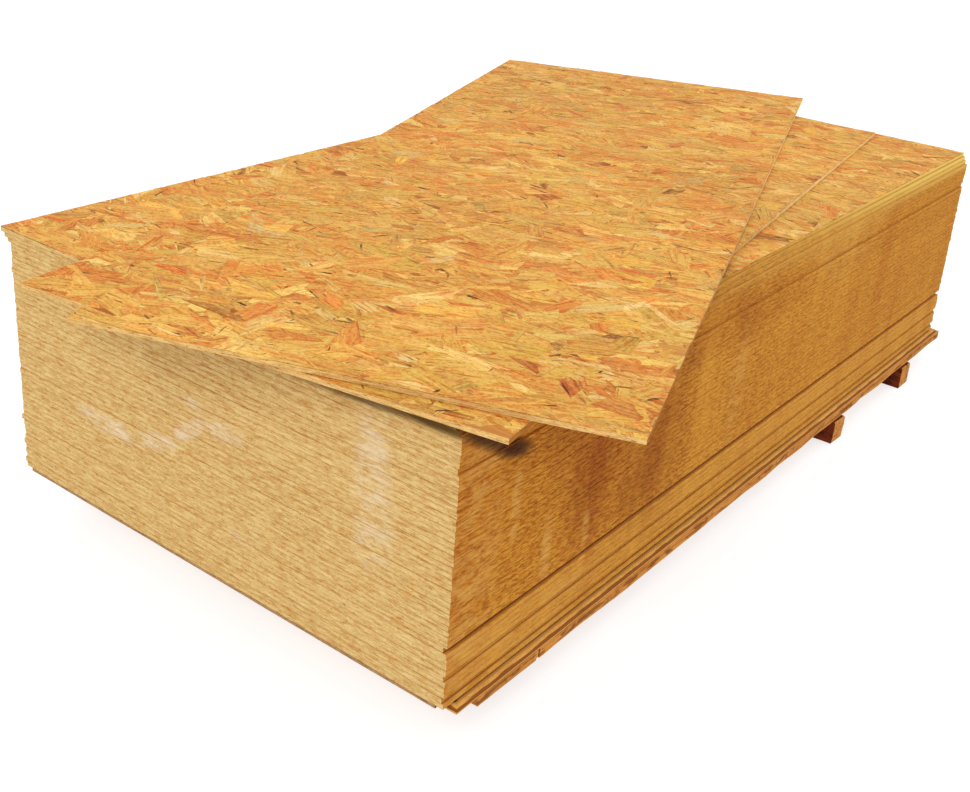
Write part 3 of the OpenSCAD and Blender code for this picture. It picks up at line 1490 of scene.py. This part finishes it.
@dataclass
class Finishes:
    """Every material of the object, made once.

    Attributes:
        strands: The strands that are shapes of their own.
        face: The flat face of a stacked board.
        clean_face: The same with a paler rim.
        base_face: The flat face of the base board, with painted shadow in the recess under the thin sheet.
        gap: What shows between the strands, painted a little darker as shade under them.
        end_edge: The stack's short sides.
        flank_edge: The stack's long sides.
        loose_end: The loose boards' short sides.
        loose_flank: The loose boards' long sides.
        chip: The base board's edges.
        dark_sheet: The thin sheet, painted dark as the shadow in the groove.
        groove_shadow_sheet_end: Its short sides.
        plank: The deck planks.
        bearer_side: The bearers' flat faces and long sides, painted dark as shade.
        bearer_end: The bearers' ends.
        recessed_faces: The face of each board under one that lies back, by number, with painted shadow in the
            recess.
    """

    strands: bpy.types.Material | None = None
    face: bpy.types.Material | None = None
    clean_face: bpy.types.Material | None = None
    base_face: bpy.types.Material | None = None
    gap: bpy.types.Material | None = None
    end_edge: bpy.types.Material | None = None
    flank_edge: bpy.types.Material | None = None
    loose_end: bpy.types.Material | None = None
    loose_flank: bpy.types.Material | None = None
    chip: bpy.types.Material | None = None
    dark_sheet: bpy.types.Material | None = None
    groove_shadow_sheet_end: bpy.types.Material | None = None
    plank: bpy.types.Material | None = None
    bearer_side: bpy.types.Material | None = None
    bearer_end: bpy.types.Material | None = None
    recessed_faces: dict[int, bpy.types.Material] = field(default_factory=dict)

    def _make_faces(self, panel: Slab) -> None:
        """Builds the materials of flat faces.

        Args:
            panel: A stacked board.
        """
        half = (panel.length / 2, panel.width / 2)
        self.strands = StrandFinish().material()
        self.face = PressedFaceFinish("pressed_face", half=half).material()
        # Each board under one that lies back gets painted shadow in the recess.
        for parting in PARTED:
            below = parting.board - 1
            self.recessed_faces[below] = PressedFaceFinish(
                f"pressed_face_{below:02d}", half=half, recess=parting.set_back,
                gap=paint(150, 84, 32)).material()
        # The uppermost boards get a paler rim of dust and painted shade.
        self.clean_face = PressedFaceFinish(
            "clean_face", half=half, side_dust_and_shade=paint(208, 156, 76), end_dust_and_shade=paint(214, 172, 104)).material()
        # The base board's face gets painted shadow in the recess under the thin sheet.
        self.base_face = PressedFaceFinish(
            "base_face", half=half, rim=0.03, side_dust_and_shade=paint(200, 140, 62), recess=0.0115).material()
        # The face under the strands is made a little darker, as painted shade between them.
        self.gap = PressedFaceFinish("face_under_strands", paint(222, 202, 176)).material()

    def _make_edges(self, panel: Slab) -> None:
        """Builds the materials of the strand boards' edges.

        Args:
            panel: A stacked board.
        """
        thick = panel.top - panel.bottom
        near_corner = -panel.width / 2
        self.end_edge = SawnEdgeFinish(
            "stack_end_edges", Axis.Y, thick, paint(164, 112, 56), paint(214, 174, 110), paint(236, 204, 146),
            contrast=0.55, board_tone=0.06, chalk=CHALK, seams=0.16, flecks=0.6, tone=paint(234, 237, 230),
            corner=near_corner, corner_seams=0.6, crown=0.36, mottle=0.6, shade=END_SHADE,
            gap=paint(84, 56, 14)).material()
        self.flank_edge = SawnEdgeFinish(
            "stack_side_edges", Axis.X, thick, paint(134, 72, 14), paint(206, 142, 48), paint(232, 172, 74),
            contrast=0.4, board_tone=0.05, hatch=0.74, calm=0.247, band=0.34, stain=STAINS, fresh=FRESH_CUTS,
            chalk=SCUFFS, flecks=0.45, seams=0.14, tone=paint(236, 232, 204), powder=paint(226, 176, 104),
            cut=paint(244, 212, 124), mark=paint(206, 160, 104), gap=paint(58, 26, 8), parted=PARTED,
            shade=SIDE_SHADE).material()
        self.loose_end = SawnEdgeFinish(
            "loose_end_edges", Axis.Y, thick, paint(140, 94, 42), paint(204, 162, 96), paint(226, 188, 122),
            contrast=0.7, board_tone=0.0, seams=0.2).material()
        # The loose boards' long edges get painted shade towards the near end.
        self.loose_flank = SawnEdgeFinish(
            "loose_side_edges", Axis.X, thick, paint(184, 144, 80), paint(250, 220, 150),
            paint(255, 238, 184), contrast=0.5, board_tone=0.0, seams=0.05,
            near_end_shade=paint(170, 122, 66)).material()

    def _make_base(self) -> None:
        """Builds the materials of everything under the stack."""
        self.chip = ChipboardFinish(
            "base_chipboard", paint(126, 68, 12), paint(190, 122, 44), paint(226, 172, 92), 0.9).material()
        # The thin sheet's long sides are painted dark, as the shadow in the groove under the cover.
        self.dark_sheet = ChipboardFinish(
            "groove_shadow_fibre", paint(44, 22, 8), paint(86, 48, 18), paint(120, 74, 32)).material()
        self.groove_shadow_sheet_end = ChipboardFinish(
            "groove_shadow_fibre_end", paint(110, 76, 46), paint(160, 124, 84), paint(184, 148, 106)).material()
        self.plank = SoftwoodFinish(
            "plank_wood", Axis.X, paint(148, 84, 20), paint(208, 140, 62), paint(124, 68, 12), 0.5,
            0.75).material()
        # The bearers' sides and flat faces are painted dark, as shade, against their paler ends.
        self.bearer_side = SoftwoodFinish(
            "bearer_side_wood", Axis.Y, paint(66, 20, 6), paint(112, 44, 14), paint(58, 18, 6),
            0.4).material()
        self.bearer_end = SoftwoodFinish(
            "bearer_end_wood", Axis.Y, paint(152, 92, 34), paint(204, 140, 62), paint(118, 62, 20),
            0.3).material()

    def make(self) -> "Finishes":
        """Builds the materials.

        Returns:
            This object.
        """
        panel = Slab.of_node("panel_01")[0]
        self._make_faces(panel)
        self._make_edges(panel)
        self._make_base()
        return self


@dataclass
class SquaredStack:
    """The stacked boards.

    Attributes:
        finishes: The materials.
        count: How many boards there are.
        clean: How many of the uppermost ones have paler rims.
    """

    finishes: Finishes
    count: int = STACKED
    clean: int = 4

    BOARD_SEED = 100
    STRAND_SEED = 31

    def build(self) -> None:
        """Builds every board, and the strands that show on the uppermost one."""
        edges = [self.finishes.end_edge, self.finishes.flank_edge]
        top = f"panel_{self.count:02d}"
        over = Slab.of_node("loose_panel_lower")[0]
        layer = StrandLayer(Slab.of_node(top)[0], seed=self.STRAND_SEED, under=over)
        for number in range(1, self.count + 1):
            node = f"panel_{number:02d}"
            slab = Slab.of_node(node)[0]
            maker = MeshMaker()
            lowered = layer.relief if node == top else 0.0
            SawnBoard(slab, number=number, seed=self.BOARD_SEED + number, lowered=lowered).add_to(maker)
            face = self.finishes.recessed_faces.get(number, self.finishes.face)
            if number > self.count - self.clean:
                face = self.finishes.clean_face
            board = maker.build(f"board_{number:02d}", [face, *edges])
            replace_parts(board, node)
        strands = layer.build(f"board_{self.count:02d}_strands", self.finishes.strands)
        LOG.info("squared stack: %d boards", self.count)


@dataclass
class LooseBoards:
    """The two boards that lie turned on top.

    Attributes:
        finishes: The materials.
        profile: The edge profile, from the underside up.
    """

    finishes: Finishes
    profile: Profile = (
        (0.0, 0.9), (0.1, 0.1), (0.3, 0.35), (0.45, 0.0), (0.62, 0.3), (0.8, 0.05), (0.92, 0.2), (1.0, 0.9))

    PITCH = 0.012
    STRAND_SEED = 51
    FIRST_NUMBER = 60
    BOARD_SEED = 70

    def build(self) -> None:
        """Builds both boards with their strands."""
        materials = [self.finishes.gap, self.finishes.loose_end, self.finishes.loose_flank]
        upper = Slab.of_node("loose_panel_upper")[0]
        lower = Slab.of_node("loose_panel_lower")[0]
        for number, (slab, under) in enumerate(((lower, upper), (upper, None))):
            layer = StrandLayer(slab, seed=self.STRAND_SEED + number, under=under)
            maker = MeshMaker()
            board = SawnBoard(
                slab, self.profile, self.PITCH, number=self.FIRST_NUMBER + number,
                seed=self.BOARD_SEED + number, lowered=layer.relief)
            board.add_to(maker)
            name = slab.node.replace("panel", "board")
            body = maker.build(name, materials)
            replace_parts(body, slab.node)
            strands = layer.build(name + "_strands", self.finishes.strands)
            LOG.info("%s: %d strand faces", name, len(strands.data.polygons))


@dataclass
class BaseBoards:
    """The cover sheet, the thin sheet painted dark as the shadow in the groove, and the base board.

    Attributes:
        finishes: The materials.
    """

    finishes: Finishes

    FIRST_NUMBER = 80
    NOSE_DEPTH = 7.0
    NOSE_SHARES = (0.0, 0.06, 0.2, 0.5, 0.8, 0.94, 1.0)

    def _nose(self) -> Profile:
        """The base board's rounded edge, with its depth in millimetres."""
        return tuple((share, (1 - math.sqrt(max(0.0, 1 - (2 * share - 1) ** 2))) * self.NOSE_DEPTH)
                     for share in self.NOSE_SHARES)

    def build(self) -> None:
        """Builds the three boards."""
        f = self.finishes
        cover = [f.recessed_faces[0], f.end_edge, f.flank_edge]
        dark = [f.dark_sheet, f.groove_shadow_sheet_end, f.dark_sheet]
        plan = (
            ("cover_sheet", "cover_board", "osb_cover", cover, SawnBoard.profile),
            ("groove_sheet", "thin_groove_shadow_sheet", "dark_sheet", dark, SawnBoard.profile),
            ("base_board", "base_chipboard", "base_board", [f.base_face, f.chip, f.chip], self._nose()),
        )
        for number, (node, name, slot, materials, profile) in enumerate(plan, self.FIRST_NUMBER):
            board = SawnBoard(Slab.of_node(node)[0], profile, number=number, seed=number)
            maker = MeshMaker()
            board.add_to(maker)
            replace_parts(maker.build(name, materials), node)
            LOG.info("%s", name)


@dataclass
class Timbers:
    """The deck planks and the bearers.

    Attributes:
        finishes: The materials.
    """

    finishes: Finishes

    PITCH = 0.02
    WAVER = 0.002
    ARRIS = 0.003
    PLANK_WANE = 0.006
    BEARER_WANE = 0.004
    RIGHT_SEED = 200
    INNER_SEED = 210
    BEARER_SEED = 220
    SEED_STEP = 3
    BEARERS = 5
    PROFILE = ((0.0, 1.5), (0.06, 0.2), (0.3, 0.0), (0.6, 0.2), (0.94, 0.2), (1.0, 1.5))

    def _one(self, node: str, name: str, materials: list, wane: float, seed: int) -> None:
        """Builds the timbers of one node.

        Args:
            node: The node.
            name: The new piece's name.
            materials: The materials of its flat faces, ends and sides.
            wane: How far the lower arris is missing at most.
            seed: Fixes the random numbers.
        """
        maker = MeshMaker()
        for number, slab in enumerate(Slab.of_node(node)):
            board = SawnBoard(
                slab, self.PROFILE, self.PITCH, self.WAVER, self.ARRIS, wane,
                number=number, seed=seed + number)
            board.add_to(maker)
        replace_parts(maker.build(name, materials), node)
        LOG.info("%s", name)

    def build(self) -> None:
        """Builds the planks and the bearers."""
        f = self.finishes
        plank, bearer = [f.plank] * 3, [f.bearer_side, f.bearer_end, f.bearer_side]
        for node, name, seed in (
                ("deck_plank_right", "right_planks", self.RIGHT_SEED),
                ("deck_planks_inner", "inner_planks", self.INNER_SEED)):
            self._one(node, name, plank, self.PLANK_WANE, seed)
        for number in range(1, self.BEARERS + 1):
            seed = self.BEARER_SEED + self.SEED_STEP * number
            name = f"timber_bearer_{number}"
            self._one(f"bearer_{number}", name, bearer, self.BEARER_WANE, seed)


@dataclass(frozen=True)
class Studio:
    """Floor, light and camera.

    Attributes:
        place: The camera's place.
        azimuth: Its turn, in degrees from looking along +Y.
        elevation: How far it looks down, in degrees.
        roll: Its roll, in degrees.
        lens: Its focal length in millimetres, for a 36 mm wide sensor.
        shift: Its shift, as shares of the width.
    """

    place: tuple[float, float, float] = (-2.7234, -1.7174, 1.6598)
    azimuth: float = -53.49
    elevation: float = 22.56
    roll: float = 4.13
    lens: float = 47.37
    shift: tuple[float, float] = (0.0132, -0.0849)

    SENSOR = 36
    CLIP = (0.05, 100)
    FLOOR_SIZE = 60

    def _floor(self) -> None:
        """Adds the plain pale floor."""
        g = Graph("pale_floor")
        place = g.place()
        cloud = g.noise(g.stretch(place, (0.8, 0.8, 0.8)), 3.0)
        colour = g.mix(cloud, paint(160, 161, 162), paint(164, 165, 166))
        material = g.surface(
            Base_Color=colour, Roughness=0.9, Emission_Color=paint(255, 255, 255), Emission_Strength=0.72)
        bpy.ops.mesh.primitive_plane_add(size=self.FLOOR_SIZE, location=(0, 0, 0))
        floor = bpy.context.object
        floor.name = "floor"
        floor.data.materials.append(material)

    def _light(self, name: str, place: Triple, power: float, size: float, target: Triple) -> None:
        """Adds one soft light.

        Args:
            name: Its name.
            place: Where it stands.
            power: Its power in watts.
            size: Its width in metres.
            target: What it points at.
        """
        data = bpy.data.lights.new(name, "AREA")
        data.energy, data.size = power, size
        light = bpy.data.objects.new(name, data)
        light.location = place
        light.rotation_mode = "QUATERNION"
        light.rotation_quaternion = (Vector(target) - Vector(place)).to_track_quat("-Z", "Y")
        bpy.context.scene.collection.objects.link(light)

    def _camera(self) -> None:
        """Adds the camera."""
        a, e, r = (math.radians(x) for x in (self.azimuth, self.elevation, self.roll))
        ahead = Vector((-math.sin(a) * math.cos(e), math.cos(a) * math.cos(e), -math.sin(e)))
        right = Vector((math.cos(a), math.sin(a), 0))
        up = right.cross(ahead)
        rolled_right = right * math.cos(r) + up * math.sin(r)
        rolled_up = up * math.cos(r) - right * math.sin(r)
        data = bpy.data.cameras.new("camera")
        data.lens, data.sensor_width = self.lens, self.SENSOR
        data.shift_x, data.shift_y = self.shift
        data.clip_start, data.clip_end = self.CLIP
        camera = bpy.data.objects.new("camera", data)
        camera.matrix_world = Matrix.Translation(self.place) @ Matrix(
            (rolled_right, rolled_up, -ahead)).transposed().to_4x4()
        bpy.context.scene.collection.objects.link(camera)
        bpy.context.scene.camera = camera

    def build(self) -> None:
        """Adds everything round the object."""
        scene = bpy.context.scene
        world = bpy.data.worlds.new("sky")
        world.use_nodes = True
        world.node_tree.nodes["Background"].inputs["Color"].default_value = (1.0, 1.0, 1.0, 1.0)
        world.node_tree.nodes["Background"].inputs["Strength"].default_value = 1.0
        scene.world = world
        scene.view_settings.view_transform = "Standard"
        self._floor()
        self._light("key", (-11.0, -3.0, 10.0), 620, 5.0, (0.0, 0.0, 0.4))
        self._camera()
        LOG.info("studio")


def main() -> None:
    """Builds the object and its surroundings."""
    logging.basicConfig(level=logging.INFO, format="%(message)s")
    finishes = Finishes().make()
    SquaredStack(finishes).build()
    LooseBoards(finishes).build()
    BaseBoards(finishes).build()
    Timbers(finishes).build()
    Studio().build()


if __name__ == "__main__":
    main()
